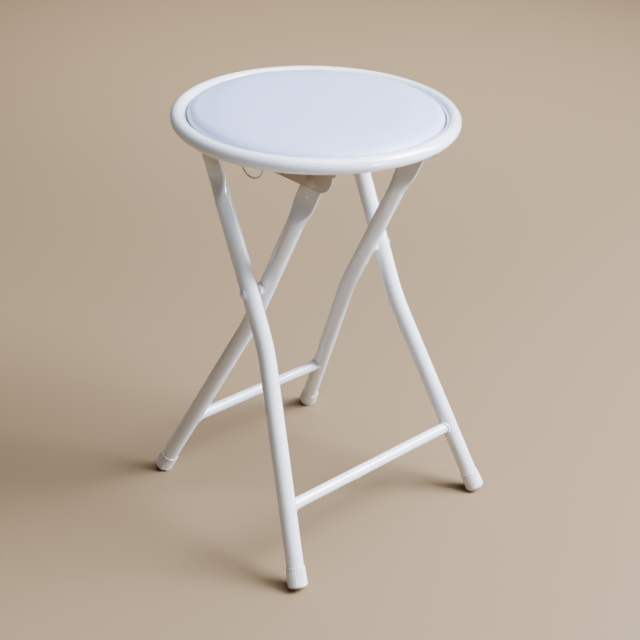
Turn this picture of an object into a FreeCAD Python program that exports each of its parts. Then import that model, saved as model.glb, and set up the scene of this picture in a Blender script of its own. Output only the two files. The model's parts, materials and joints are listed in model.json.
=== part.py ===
"""Padded folding stool: two crossed frames of bent steel tube under a round padded seat.

The inner frame is hinged to the seat, the outer frame carries two stub pins that sit in hooks
under the seat, and a rivet on each side joins the frames where they cross.  Sizes are in
millimetres, +Z is up, X runs along the cross bars and the origin is on the floor under the seat's
centre.  Left is -X and right is +X.
"""
import FreeCAD
import Part
import math
import os

V = FreeCAD.Vector

# Seat rim: a ring of round tube
RIM_OUTER_D = 300.0
RIM_TUBE_D = 16.0
RIM_WALL = 1.2
RIM_Z = 457.1

# Leg tubes and how the two frames stand
TUBE_D = 19.0
TUBE_WALL = 1.2
CROSS_Y = -9.0
CROSS_Z = 286.8
INNER_FOOT_Y = 133.3
OUTER_FOOT_Y = -144.5
INNER_HALF = 71.5
FRAME_GAP = 5.0
SPLAY_DEG = 10.0
BEND_BELOW_CROSS = 62.0
BEND_R = 250.0

# Flattened tops of the legs
TONGUE_T = 3.2
FLAT_BELOW_PIVOT = 30.0
SQUEEZE_LENGTH = 30.0
SQUEEZE_STEPS = 5
PIP_R = 2.6
PIP_H = 0.9
PIP_BELOW_PIVOT = 21.0

# Cross bars
BAR_D = 12.7
BAR_WALL = 1.0
OUTER_BAR_Z = 78.8
INNER_BAR_Z = 83.2

# Foot caps
CAP_WALL = 1.4
CAP_LENGTH = 20.0
CAP_LIP_H = 2.6
CAP_LIP_R = 0.55
CAP_FLOOR = 4.0
CAP_TOE_R = 6.0
CAP_TOE_FLAT = 0.8

# Rivets, spacers and washers
RIVET_R = 3.0
RIVET_HEAD_R = 5.4
RIVET_HEAD_H = 2.2
SPACER_R = 6.5
SEAT_RIVET_HEAD_R = 7.2
SEAT_RIVET_HEAD_H = 2.8
WASHER_R = 7.2
WASHER_T = 1.2

# Seat rails: pressed steel angles welded to the rim
RAIL_T = 2.0
RAIL_TOP_BELOW_RIM = 10.3
RAIL_DEPTH = 24.0
RAIL_END_INSET = 4.5
RAIL_NOSE_R = 20.0
RAIL_NOSE_INSET = 5.2
RAIL_BEND_R = 1.6
RAIL_TAIL_DEPTH = 9.0
FLANGE_WIDTH = 20.0
FLANGE_HALF_LENGTH = 75.0
PIVOT_BELOW_RIM = 28.8

# Hook plates and the stub pins that sit in them
HOOK_T = 3.0
HOOK_FRONT = 15.0
HOOK_BACK = 24.0
HOOK_LIP = 11.0
HOOK_CORNER_R = 5.0
PIN_R = 4.0
PIN_CHAMFER = 0.8
FOLD_RATIO = 2.3
HOOK_SWEEP_DEG = 6.0
HOOK_STEPS = 4

# Wire loop on the left rail
WIRE_D = 1.8
WIRE_LOOP_R = 19.0
WIRE_LOOP_Y = 15.0
WIRE_LOOP_BELOW_RIM = 35.8
WIRE_LEG = 8.0

# Pad: board, foam and cover
BOARD_T = 9.0
BOARD_CHAMFER = 1.0
COVER_T = 0.9
PAD_EDGE_R = 11.0
PAD_CROWN = 4.0
HEM_WIDTH = 17.0
SCREW_R = 2.0
SCREW_HEAD_R = 4.0
SCREW_HEAD_H = 2.2
SCREW_DEPTH = 7.0
SCREW_Y = 55.0
SCREW_FROM_WEB = 9.0

# Clearances
RUNNING = 0.05
SIDE_PLAY = 0.1
WELD_GAP = 0.05
HOOK_PLAY = 0.3
PIN_END_GAP = 0.3
PAD_GAP = 0.35
SEAT_FIT = 0.02

# How near to level an edge lies to count as level
LEVEL = 0.01

# Places worked out from the sizes above
SIDES = {"left": -1.0, "right": 1.0}
X_AXIS = V(1, 0, 0)
TUBE_R = TUBE_D / 2
BAR_R = BAR_D / 2
RIM_TUBE_R = RIM_TUBE_D / 2
RIM_R = RIM_OUTER_D / 2 - RIM_TUBE_R
OUTER_HALF = INNER_HALF + TUBE_D + FRAME_GAP
SPLAY = math.radians(SPLAY_DEG)
TONGUE_W = TONGUE_T + math.pi / 2 * (TUBE_D - TONGUE_T)
PIVOT_Z = RIM_Z - PIVOT_BELOW_RIM
WEB_IN = INNER_HALF + TONGUE_T / 2 + WASHER_T + 2 * SIDE_PLAY
WEB_OUT = WEB_IN + RAIL_T
RAIL_TOP = RIM_Z - RAIL_TOP_BELOW_RIM
DRUM_R = RIM_R - RIM_TUBE_R - PAD_GAP
BOARD_R = DRUM_R - COVER_T - SEAT_FIT
CAP_R = TUBE_R + CAP_WALL


class Frame:
    """One pair of legs: its lean, and the places along it measured from the crossing."""

    def __init__(self, half, foot_y, bar_z):
        self.half = half
        self.lean = math.atan2(foot_y - CROSS_Y, CROSS_Z)
        self.floor = -CROSS_Z / math.cos(self.lean)
        self.pivot = (PIVOT_Z - CROSS_Z) / math.cos(self.lean)
        self.bar = (bar_z - CROSS_Z) / math.cos(self.lean)
        self.pivot_y = CROSS_Y - (PIVOT_Z - CROSS_Z) * math.tan(self.lean)
        turn = FreeCAD.Rotation(X_AXIS, math.degrees(self.lean))
        self.placement = FreeCAD.Placement(V(0, CROSS_Y, CROSS_Z), turn)

    def lower_x(self, height):
        """Distance of the splayed leg's centre line from the middle, at a height along the frame."""
        return self.half + (-BEND_BELOW_CROSS - height) * math.tan(SPLAY)

    def set(self, shape):
        """Stand a shape that was made upright at the crossing in this frame's lean."""
        placed = shape.copy()
        placed.Placement = self.placement.multiply(placed.Placement)
        return placed


INNER = Frame(INNER_HALF, INNER_FOOT_Y, INNER_BAR_Z)
OUTER = Frame(OUTER_HALF, OUTER_FOOT_Y, OUTER_BAR_Z)


def round_bar(radius, start, end):
    return Part.makeCylinder(radius, start.distanceToPoint(end), start, end - start)


def rod_x(radius, x_from, x_to, y, z):
    """A round bar along X."""
    return round_bar(radius, V(x_from, y, z), V(x_to, y, z))


def dome_x(radius, height, x, way, y, z):
    """A domed rivet head standing on the plane at x, pointing along way."""
    ball_r = (radius ** 2 + height ** 2) / (2 * height)
    ball = Part.makeSphere(ball_r, V(x + way * (height - ball_r), y, z))
    return ball.common(rod_x(radius, x, x + way * height * 2, y, z))


def ring_x(inner_r, outer_r, x_from, x_to, y, z):
    return rod_x(outer_r, x_from, x_to, y, z).cut(rod_x(inner_r, x_from, x_to, y, z))


def fuse(first, *others):
    return first.multiFuse(list(others)).removeSplitter()


def prism_x(wire, x_from, x_to):
    """Stand a flat outline drawn at x = 0 out between two places along X."""
    face = Part.Face(wire)
    face.translate(V(x_from, 0, 0))
    return face.extrude(V(x_to - x_from, 0, 0))


# Legs
def squeezed_outline(x, height, flat):
    """Outline of the tube at a share of its pressing from 0, round, to 1, flat with round edges."""
    r = TONGUE_T / 2
    slant = TUBE_R * math.sqrt(0.5)
    corner_x = slant + (r - slant) * flat
    side_x = TUBE_R + (r - TUBE_R) * flat
    corner_y = slant + (TONGUE_W / 2 - r - slant) * flat
    edge_y = TUBE_R + (TONGUE_W / 2 - TUBE_R) * flat
    turns = [(corner_x, -corner_y), (side_x, 0), (corner_x, corner_y), (0, edge_y),
             (-corner_x, corner_y), (-side_x, 0), (-corner_x, -corner_y), (0, -edge_y)]
    points = [V(x + dx, dy, height) for dx, dy in turns]
    edges = []
    for a, b, c in ((0, 1, 2), (2, 3, 4), (4, 5, 6), (6, 7, 0)):
        if flat == 1 and b in (1, 5):
            curve = Part.LineSegment(points[a], points[c])
        else:
            curve = Part.Arc(points[a], points[b], points[c])
        edges.append(curve.toShape())
    return Part.Wire(edges)


def tongue(x, frame):
    """Flattened top of a leg: the squeeze from round to flat, and the flat with its round end."""
    flat_start = frame.pivot - FLAT_BELOW_PIVOT
    shares = [(1 - math.cos(math.pi * k / SQUEEZE_STEPS)) / 2 for k in range(SQUEEZE_STEPS + 1)]
    shares[-1] = 1
    wires = []
    for count, share in enumerate(shares):
        height = flat_start - SQUEEZE_LENGTH * (1 - count / SQUEEZE_STEPS)
        wires.append(squeezed_outline(x, height, share))
    squeeze = Part.makeLoft(wires, True, False)
    flat = Part.Face(squeezed_outline(x, flat_start, 1.0)).extrude(V(0, 0, FLAT_BELOW_PIVOT))
    half = Part.Face(squeezed_outline(x, frame.pivot, 1.0)).common(
        Part.makeBox(2 * TONGUE_T, TONGUE_W, TONGUE_T, V(x - TONGUE_T, 0, frame.pivot - TONGUE_T / 2)))
    end = half.revolve(V(0, 0, frame.pivot), X_AXIS, 180)
    return squeeze, flat, end


def leg_line(side, frame, top, bottom):
    """Centre line of a leg: straight, one bend outwards, straight down to the foot."""
    x = side * frame.half
    out = V(side * math.sin(SPLAY), 0, -math.cos(SPLAY))
    corner = V(x, 0, -BEND_BELOW_CROSS)
    reach = BEND_R * math.tan(SPLAY / 2)
    start = corner + V(0, 0, reach)
    end = corner + out * reach
    inwards = (start + end - corner * 2).normalize()
    middle = corner + inwards * (BEND_R / math.cos(SPLAY / 2) - BEND_R)
    foot = corner + out * bottom
    return Part.Wire([
        Part.LineSegment(V(x, 0, top), start).toShape(),
        Part.Arc(start, middle, end).toShape(),
        Part.LineSegment(end, foot).toShape(),
    ])


def leg_reach(frame):
    """Length of the lower leg's line from the bend's corner to the floor."""
    return (-BEND_BELOW_CROSS - frame.floor) / math.cos(SPLAY)


def cap_lift(frame):
    """How far the middle of a cap's underside is from the floor, along the leg."""
    tilt = math.acos(math.cos(SPLAY) * math.cos(frame.lean))
    dip = CAP_TOE_R - CAP_TOE_R * math.cos(tilt) + (CAP_R - CAP_TOE_R) * math.sin(tilt)
    return (dip - CAP_TOE_FLAT) / math.cos(tilt)


def tube_along(line, radius):
    start = line.Vertexes[0].Point
    disc = Part.Face(Part.Wire(Part.makeCircle(radius, start, V(0, 0, 1))))
    return line.makePipe(disc)


def leg(side, frame, hole_r, pip):
    """One leg tube, open at the foot and flattened at the top, with its two rivet holes."""
    x = side * frame.half
    top = frame.pivot - FLAT_BELOW_PIVOT - SQUEEZE_LENGTH
    bottom = leg_reach(frame) - cap_lift(frame) - CAP_FLOOR
    line = leg_line(side, frame, top, bottom)
    body = fuse(tube_along(line, TUBE_R), *tongue(x, frame))
    body = body.cut(tube_along(line, TUBE_R - TUBE_WALL))
    for height, radius in ((0, RIVET_R + RUNNING), (frame.pivot, hole_r)):
        body = body.cut(rod_x(radius, x - TUBE_D, x + TUBE_D, 0, height))
    if pip:
        height = frame.pivot - PIP_BELOW_PIVOT
        body = fuse(body, dome_x(PIP_R, PIP_H, x + side * TONGUE_T / 2, side, 0, height))
    return frame.set(body)


# Foot caps
def foot_cap(side, frame):
    """Moulded cap pushed over the tube's end, with a lip on top and a rounded toe on the floor."""
    lip_r = CAP_R + CAP_LIP_R
    shell = Part.makeCylinder(CAP_R, CAP_LENGTH)
    toe = [edge for edge in shell.Edges if edge.BoundBox.ZMax < LEVEL]
    shell = shell.makeFillet(CAP_TOE_R, toe)
    lip = Part.makeCylinder(lip_r, CAP_LIP_H, V(0, 0, CAP_LENGTH - CAP_LIP_H))
    rims = [edge for edge in lip.Edges if edge.Closed and len(edge.Vertexes) == 1]
    lip = lip.makeFillet(CAP_LIP_R, [edge for edge in rims if edge.BoundBox.ZLength < LEVEL])
    socket = Part.makeCylinder(TUBE_R + SEAT_FIT, CAP_LENGTH, V(0, 0, CAP_FLOOR))
    cap = fuse(shell, lip).cut(socket)
    out = V(side * math.sin(SPLAY), 0, -math.cos(SPLAY))
    base = V(side * frame.half, 0, -BEND_BELOW_CROSS) + out * (leg_reach(frame) - cap_lift(frame))
    cap.Placement = FreeCAD.Placement(base, FreeCAD.Rotation(V(0, 0, 1), out * -1))
    cap = frame.set(cap)
    ground = Part.makeBox(8 * CAP_R, 8 * CAP_R, 4 * CAP_R)
    centre = cap.BoundBox.Center
    ground.translate(V(centre.x - 4 * CAP_R, centre.y - 4 * CAP_R, -4 * CAP_R))
    return cap.cut(ground)


# Cross bars
def cross_bar(frame):
    """Round tube between two legs, with both ends coped to the legs and welded."""
    reach = frame.lower_x(frame.bar)
    bar = ring_x(BAR_R - BAR_WALL, BAR_R, -reach, reach, 0, frame.bar)
    for side in SIDES.values():
        out = V(side * math.sin(SPLAY), 0, -math.cos(SPLAY))
        middle = V(side * reach, 0, frame.bar)
        bar = bar.cut(round_bar(TUBE_R + WELD_GAP, middle - out * 3 * TUBE_D, middle + out * 3 * TUBE_D))
    return frame.set(bar)


# Rivets and spacers where the frames cross
def crossing_rivet(side):
    inside = side * (INNER_HALF - TUBE_R - SIDE_PLAY)
    outside = side * (OUTER_HALF + TUBE_R + SIDE_PLAY)
    shank = rod_x(RIVET_R, inside, outside, CROSS_Y, CROSS_Z)
    heads = [dome_x(RIVET_HEAD_R, RIVET_HEAD_H, inside, -side, CROSS_Y, CROSS_Z),
             dome_x(RIVET_HEAD_R, RIVET_HEAD_H, outside, side, CROSS_Y, CROSS_Z)]
    return fuse(shank, *heads)


def crossing_spacer(side):
    inside = side * (INNER_HALF + TUBE_R + SIDE_PLAY)
    outside = side * (OUTER_HALF - TUBE_R - SIDE_PLAY)
    return ring_x(RIVET_R + RUNNING, SPACER_R, inside, outside, CROSS_Y, CROSS_Z)


# Hinge between the inner frame and the seat
def seat_rivet(side):
    inside = side * (INNER_HALF - TONGUE_T / 2 - SIDE_PLAY)
    outside = side * (WEB_OUT + SEAT_FIT)
    shank = rod_x(RIVET_R, inside, outside, INNER.pivot_y, PIVOT_Z)
    heads = [dome_x(RIVET_HEAD_R, RIVET_HEAD_H, inside, -side, INNER.pivot_y, PIVOT_Z),
             dome_x(SEAT_RIVET_HEAD_R, SEAT_RIVET_HEAD_H, outside, side, INNER.pivot_y, PIVOT_Z)]
    return fuse(shank, *heads)


def seat_washer(side):
    inside = side * (INNER_HALF + TONGUE_T / 2 + SIDE_PLAY)
    outside = inside + side * WASHER_T
    return ring_x(RIVET_R + RUNNING, WASHER_R, inside, outside, INNER.pivot_y, PIVOT_Z)


# Seat rim
def seat_rim():
    """Closed ring of bent tube."""
    centre = V(0, 0, RIM_Z)
    bore = Part.makeTorus(RIM_R, RIM_TUBE_R - RIM_WALL, centre)
    return Part.makeTorus(RIM_R, RIM_TUBE_R, centre).cut(bore)


def chord(radius, x):
    """Half the chord of a circle about the middle, at a distance x from the middle."""
    return math.sqrt(radius ** 2 - x ** 2)


# Seat rails
def rail_outline():
    """Side view of a rail's web: a round nose at the hinge, ears up to the rim and a raised tail."""
    end = chord(RIM_R - RAIL_END_INSET, WEB_OUT)
    nose_end = end - RAIL_NOSE_INSET
    ear = chord(DRUM_R + PAD_GAP, WEB_IN)
    under = RAIL_TOP - RAIL_T
    low = under - RAIL_DEPTH
    tail = under - RAIL_TAIL_DEPTH
    step = OUTER.pivot_y + HOOK_FRONT
    slope = tail - low
    nose = RAIL_NOSE_R * (1 - math.sqrt(0.5))
    points = [V(0, -nose_end + RAIL_NOSE_R, low), V(0, step, low), V(0, step + slope, tail), V(0, end, tail),
              V(0, end, RIM_Z), V(0, ear, RIM_Z), V(0, ear, under), V(0, -ear, under), V(0, -ear, RIM_Z),
              V(0, -end, RIM_Z), V(0, -end, under), V(0, -nose_end, low + RAIL_NOSE_R)]
    edges = [Part.LineSegment(a, b).toShape() for a, b in zip(points, points[1:])]
    edges.append(Part.Arc(points[-1], V(0, -nose_end + nose, low + nose), points[0]).toShape())
    return Part.Wire(edges)


def seat_rail(side):
    """Pressed angle: an upright web with a flange turned in under the board, coped to the rim."""
    web = prism_x(rail_outline(), side * WEB_IN, side * WEB_OUT)
    edge = min(side * WEB_OUT, side * (WEB_OUT - FLANGE_WIDTH))
    start = V(edge, -FLANGE_HALF_LENGTH, RAIL_TOP - RAIL_T)
    flange = Part.makeBox(FLANGE_WIDTH, 2 * FLANGE_HALF_LENGTH, RAIL_T, start)
    rail = fuse(web, flange)
    corner = V(side * WEB_OUT, 0, RAIL_TOP)
    bend = [e for e in rail.Edges if e.CenterOfMass.distanceToPoint(corner) < RAIL_T / 4]
    rail = rail.makeFillet(min(RAIL_BEND_R, 0.8 * RAIL_T), bend)
    rail = rail.cut(Part.makeTorus(RIM_R, RIM_TUBE_R + WELD_GAP, V(0, 0, RIM_Z)))
    rail = rail.cut(rod_x(RIVET_R + SEAT_FIT, -RIM_R, RIM_R, INNER.pivot_y, PIVOT_Z))
    for place in screw_places(side):
        rail = rail.cut(Part.makeCylinder(SCREW_R + SEAT_FIT, 4 * RAIL_T, place - V(0, 0, 3 * RAIL_T)))
    return rail


# Hook plates and stub pins
def turned(point, about, degrees):
    """A point turned about an X axis through another point."""
    turn = FreeCAD.Rotation(X_AXIS, degrees)
    return about + turn.multVec(point - about)


def pin_in_hook(fold):
    """Where the pin is, seen from the seat, when the legs have closed by fold degrees."""
    cross = V(0, CROSS_Y, CROSS_Z)
    hinge = V(0, INNER.pivot_y, PIVOT_Z)
    pin = turned(V(0, OUTER.pivot_y, PIVOT_Z), cross, fold)
    return turned(pin, hinge, -fold * FOLD_RATIO)


def hook_notch(x_from, x_to):
    """The path that the pin takes out of its hook, with some play all round."""
    radius = PIN_R + HOOK_PLAY
    places = [pin_in_hook(HOOK_SWEEP_DEG * step / HOOK_STEPS) for step in range(HOOK_STEPS + 1)]
    pieces = []
    for a, b in zip(places, places[1:]):
        across = (b - a).normalize().cross(X_AXIS) * radius
        outline = Part.makePolygon([a + across, b + across, b - across, a - across, a + across])
        pieces.append(prism_x(outline, x_from, x_to))
    pieces += [rod_x(radius, x_from, x_to, p.y, p.z) for p in places]
    return fuse(*pieces)


def hook_plate(side):
    """Hook welded to the outer face of a rail, open downwards for the outer frame's pin."""
    inside = side * WEB_OUT
    outside = side * (WEB_OUT + HOOK_T)
    y = OUTER.pivot_y
    low = PIVOT_Z - HOOK_LIP
    block = Part.makeBox(HOOK_T, HOOK_FRONT + HOOK_BACK, RAIL_TOP - RAIL_T - low,
                         V(min(inside, outside), y - HOOK_BACK, low))
    corners = [e for e in block.Edges if e.BoundBox.XLength > HOOK_T / 2]
    plate = block.makeFillet(HOOK_CORNER_R, corners)
    return plate.cut(hook_notch(inside - side, outside + side))


def hook_pin(side):
    """Stub pin riveted through an outer leg's flat top, pointing in towards the hook."""
    y = OUTER.pivot_y
    tip = side * (WEB_OUT + PIN_END_GAP)
    shoulder = side * (OUTER_HALF - TONGUE_T / 2 - SEAT_FIT)
    head = side * (OUTER_HALF + TONGUE_T / 2 + SEAT_FIT)
    pin = rod_x(PIN_R, tip, shoulder, y, PIVOT_Z)
    rims = [e for e in pin.Edges if abs(e.CenterOfMass.x - tip) < PIN_CHAMFER / 4]
    pin = pin.makeChamfer(PIN_CHAMFER, rims)
    spigot = rod_x(RIVET_R, shoulder - side, head, y, PIVOT_Z)
    return fuse(pin, spigot, dome_x(RIVET_HEAD_R, RIVET_HEAD_H, head, side, y, PIVOT_Z))


# Wire loop
def wire_loop():
    """Bent wire loop hanging under the left rail, its two ends welded to the web's inner face."""
    radius = WIRE_D / 2
    x = -(WEB_IN - radius - WELD_GAP)
    z = RIM_Z - WIRE_LOOP_BELOW_RIM
    ends = [V(x, WIRE_LOOP_Y - WIRE_LOOP_R, z), V(x, WIRE_LOOP_Y + WIRE_LOOP_R, z)]
    rise = V(0, 0, WIRE_LEG)
    line = Part.Wire([
        Part.LineSegment(ends[0] + rise, ends[0]).toShape(),
        Part.Arc(ends[0], V(x, WIRE_LOOP_Y, z - WIRE_LOOP_R), ends[1]).toShape(),
        Part.LineSegment(ends[1], ends[1] + rise).toShape(),
    ])
    return tube_along(line, radius)


# Board and its screws
def screw_places(side):
    """Where the board's screws come up through one rail's flange, at the board's underside."""
    return [V(side * (WEB_IN - SCREW_FROM_WEB), y, RAIL_TOP) for y in (-SCREW_Y, SCREW_Y)]


def seat_board():
    board = Part.makeCylinder(BOARD_R, BOARD_T, V(0, 0, RAIL_TOP))
    rims = [edge for edge in board.Edges if edge.Closed and edge.BoundBox.ZLength < LEVEL]
    board = board.makeChamfer(BOARD_CHAMFER, rims)
    for side in SIDES.values():
        for place in screw_places(side):
            board = board.cut(Part.makeCylinder(SCREW_R + SEAT_FIT, SCREW_DEPTH + SEAT_FIT, place))
    return board


def board_screws():
    """The four pan-head screws that hold the board down on the rails."""
    screws = []
    for side in SIDES.values():
        for place in screw_places(side):
            under = place - V(0, 0, RAIL_T + SEAT_FIT)
            shank = Part.makeCylinder(SCREW_R, RAIL_T + SCREW_DEPTH, under)
            ball_r = (SCREW_HEAD_R ** 2 + SCREW_HEAD_H ** 2) / (2 * SCREW_HEAD_H)
            ball = Part.makeSphere(ball_r, under + V(0, 0, ball_r - SCREW_HEAD_H))
            core = Part.makeCylinder(SCREW_HEAD_R, SCREW_HEAD_H * 2, under - V(0, 0, SCREW_HEAD_H * 2))
            screws.append(fuse(shank, ball.common(core)))
    return Part.makeCompound(screws)


# Pad
def pad_section(inset, base):
    """Half section of the pad: crowned top, rolled edge beside the rim, and an upright side."""
    roll_r = PAD_EDGE_R - inset
    roll = V(DRUM_R - PAD_EDGE_R, 0, RIM_Z)
    rise = roll_r + PAD_CROWN
    dome_r = (roll.x ** 2 + rise ** 2 - roll_r ** 2) / (2 * PAD_CROWN)
    crown = roll + V(-roll.x, 0, rise)
    centre = crown - V(0, 0, dome_r)
    shoulder = centre + (roll - centre).normalize() * dome_r
    halfway = centre + (shoulder + crown - centre * 2).normalize() * dome_r
    side = roll + V(roll_r, 0, 0)
    turn = roll + (shoulder + side - roll * 2).normalize() * roll_r
    foot = V(side.x, 0, base)
    middle = V(0, 0, base)
    edges = [
        Part.Arc(crown, halfway, shoulder).toShape(),
        Part.Arc(shoulder, turn, side).toShape(),
        Part.LineSegment(side, foot).toShape(),
        Part.LineSegment(foot, middle).toShape(),
        Part.LineSegment(middle, crown).toShape(),
    ]
    return Part.Face(Part.Wire(edges))


def spin(face):
    return face.revolve(V(0, 0, 0), V(0, 0, 1), 360)


def seat_foam():
    """Foam disc on top of the board."""
    return spin(pad_section(COVER_T + SEAT_FIT, RAIL_TOP + BOARD_T + SEAT_FIT))


def seat_cover():
    """Cover sheet drawn over the foam, down the board's edge and under it as a hem."""
    outer = spin(pad_section(0, RAIL_TOP - COVER_T))
    inner = spin(pad_section(COVER_T, RAIL_TOP - SEAT_FIT))
    mouth = Part.makeCylinder(BOARD_R - HEM_WIDTH, 2 * BOARD_T, V(0, 0, RAIL_TOP - BOARD_T))
    return outer.cut(inner).cut(mouth)


def build():
    nodes = {}
    for name, side in SIDES.items():
        nodes["inner_leg_" + name] = leg(side, INNER, RIVET_R + RUNNING, True)
        nodes["outer_leg_" + name] = leg(side, OUTER, RIVET_R + SEAT_FIT, False)
        nodes["inner_foot_cap_" + name] = foot_cap(side, INNER)
        nodes["outer_foot_cap_" + name] = foot_cap(side, OUTER)
        nodes["crossing_rivet_" + name] = crossing_rivet(side)
        nodes["crossing_spacer_" + name] = crossing_spacer(side)
        nodes["seat_rivet_" + name] = seat_rivet(side)
        nodes["seat_washer_" + name] = seat_washer(side)
        nodes["seat_rail_" + name] = seat_rail(side)
        nodes["hook_plate_" + name] = hook_plate(side)
        nodes["hook_pin_" + name] = hook_pin(side)
    nodes["inner_cross_bar"] = cross_bar(INNER)
    nodes["outer_cross_bar"] = cross_bar(OUTER)
    nodes["seat_rim"] = seat_rim()
    nodes["wire_loop"] = wire_loop()
    nodes["seat_board"] = seat_board()
    nodes["board_screws"] = board_screws()
    nodes["seat_foam"] = seat_foam()
    nodes["seat_cover"] = seat_cover()
    return nodes


os.makedirs("parts", exist_ok=True)
for node, shape in build().items():
    print(node, "solids", len(shape.Solids), "valid", shape.isValid(), "cm3", round(shape.Volume / 1000, 2))
    shape.exportStep("parts/" + node + ".step")
print("hinge", INNER.pivot_y, PIVOT_Z, "pin", OUTER.pivot_y)
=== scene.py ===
"""Padded folding stool: its finishes, the soft seat and the small fixings, dressed on its frame.

Metres throughout.  +Z is up, X runs along the cross bars, and the floor is at zero under the seat.
"""
import json
import math

import bmesh
import bpy
import numpy as np
from mathutils import Matrix, Vector


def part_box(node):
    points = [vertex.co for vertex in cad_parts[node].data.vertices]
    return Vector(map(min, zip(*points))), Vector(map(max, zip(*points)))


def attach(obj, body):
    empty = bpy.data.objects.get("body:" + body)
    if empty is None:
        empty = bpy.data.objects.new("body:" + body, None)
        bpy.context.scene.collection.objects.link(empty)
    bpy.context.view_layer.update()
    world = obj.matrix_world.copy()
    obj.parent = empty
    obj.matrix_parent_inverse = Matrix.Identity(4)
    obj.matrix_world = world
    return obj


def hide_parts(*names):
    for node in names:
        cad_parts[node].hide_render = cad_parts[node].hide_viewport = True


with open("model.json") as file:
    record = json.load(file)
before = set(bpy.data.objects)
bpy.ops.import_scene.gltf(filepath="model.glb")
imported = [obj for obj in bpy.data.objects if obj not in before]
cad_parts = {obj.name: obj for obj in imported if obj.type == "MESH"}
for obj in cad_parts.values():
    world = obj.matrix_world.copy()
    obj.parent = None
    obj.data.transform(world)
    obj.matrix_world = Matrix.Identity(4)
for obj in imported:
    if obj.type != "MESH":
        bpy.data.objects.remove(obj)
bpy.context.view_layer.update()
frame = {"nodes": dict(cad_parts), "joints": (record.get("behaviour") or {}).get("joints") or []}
scene = bpy.context.scene
nodes = frame["nodes"]

# Stage
# A plain pale floor and backdrop under a large cool window light on the right, an even one overhead, a
# small low one that draws glints on the tubes, and weak fills.  The camera stands as in the photograph.
FLOOR_RADIUS = 6.0
FLOOR_SIDES = 96
FLOOR_DROP = 0.0003
FLOOR_COLOUR = (0.198, 0.136, 0.072, 1.0)
FLOOR_SHADE = (0.187, 0.128, 0.067, 1.0)
FLOOR_ROUGHNESS = 0.55
SURROUND_COLOUR = (0.75, 0.72, 0.70, 1.0)
SURROUND_STRENGTH = 0.03
BACKDROP_COLOUR = (0.52, 0.46, 0.38, 1.0)
RIM_FRONT = Vector((-0.06, -0.13, 0.53))
RIM_LEFT = Vector((-0.10, -0.05, 0.47))
LEG_LEVEL = Vector((0.0, 0.0, 0.35))
FAR_FLOOR = Vector((1.3, 1.4, 0.0))
FAR_LIGHT = FAR_FLOOR + Vector((0, 0, 2.6))
SPOT_SOFTNESS = 0.25
CEILING_FROM = Vector((0.20, -0.15, 1.0))
CEILING_ANGLE_DEG = 50.0
CEILING_STRENGTH = 3.5
CEILING_COLOUR = (0.94, 0.955, 1.0)
CAMERA_PLACE = Vector((-0.84996, -0.93654, 0.90183))
CAMERA_YAW = math.radians(42.672)
CAMERA_PITCH = math.radians(-28.418)
CAMERA_ROLL = math.radians(1.561)
CAMERA_LENS = 72.296
SENSOR_WIDTH = 36.0


def put(tree, kind, inputs=None, **settings):
    """Add a node: its settings by name, and each input linked from a socket or set to a value."""
    node = tree.nodes.new(kind)
    for name, value in settings.items():
        setattr(node, name, value)
    for key, value in (inputs or {}).items():
        if isinstance(value, bpy.types.NodeSocket):
            tree.links.new(value, node.inputs[key])
        else:
            node.inputs[key].default_value = value
    return node


def new_material(name):
    """A node material, with its tree and its main shader."""
    material = bpy.data.materials.new(name)
    material.use_nodes = True
    return material, material.node_tree, material.node_tree.nodes["Principled BSDF"]


def blend_colours(tree, share, first, second):
    """The socket of a colour mixed between two by a share from 0 to 1."""
    return put(tree, "ShaderNodeMix", {0: share, 6: first, 7: second}, data_type="RGBA").outputs[2]


def new_object(name, mesh, *materials):
    """An object at the origin that holds a mesh and its materials."""
    made = bpy.data.objects.new(name, mesh)
    scene.collection.objects.link(made)
    for material in materials:
        mesh.materials.append(material)
    return made


def mesh_from(name, build):
    """A mesh made by a function that fills an empty bmesh."""
    shape = bmesh.new()
    build(shape)
    mesh = bpy.data.meshes.new(name)
    shape.to_mesh(mesh)
    shape.free()
    return mesh


def add_light(name, kind, place, aim, power, colour, **settings):
    """A lamp of some kind that faces a point."""
    lamp = bpy.data.lights.new(name, kind)
    for key, value in dict(settings, energy=power, color=colour).items():
        setattr(lamp, key, value)
    holder = bpy.data.objects.new(name, lamp)
    holder.location = place
    holder.rotation_euler = (Vector(aim) - Vector(place)).to_track_quat("-Z", "Y").to_euler()
    scene.collection.objects.link(holder)


def soft_light(name, place, width, height, power, colour):
    """A rectangular lamp that faces the legs."""
    add_light(name, "AREA", place, LEG_LEVEL, power, colour, shape="RECTANGLE", size=width, size_y=height)


def spot_light(name, place, aim, cone_deg, power, colour):
    """A round lamp whose narrow cone fades all the way to its edge."""
    add_light(name, "SPOT", place, aim, power, colour, spot_size=math.radians(cone_deg), spot_blend=1.0,
              shadow_soft_size=SPOT_SOFTNESS)


floor_finish, tree, shader = new_material("Floor")
grain = put(tree, "ShaderNodeTexNoise", {"Scale": 3.0, "Detail": 3.0})
tone = blend_colours(tree, grain.outputs["Fac"], FLOOR_COLOUR, FLOOR_SHADE)
tree.links.new(tone, shader.inputs["Base Color"])
shader.inputs["Roughness"].default_value = FLOOR_ROUGHNESS
floor_mesh = mesh_from("Floor", lambda shape: bmesh.ops.create_circle(
    shape, cap_ends=True, segments=FLOOR_SIDES, radius=FLOOR_RADIUS))
floor_mesh.transform(Matrix.Translation((0, 0, -FLOOR_DROP)))
floor = new_object("Floor", floor_mesh, floor_finish)

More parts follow.
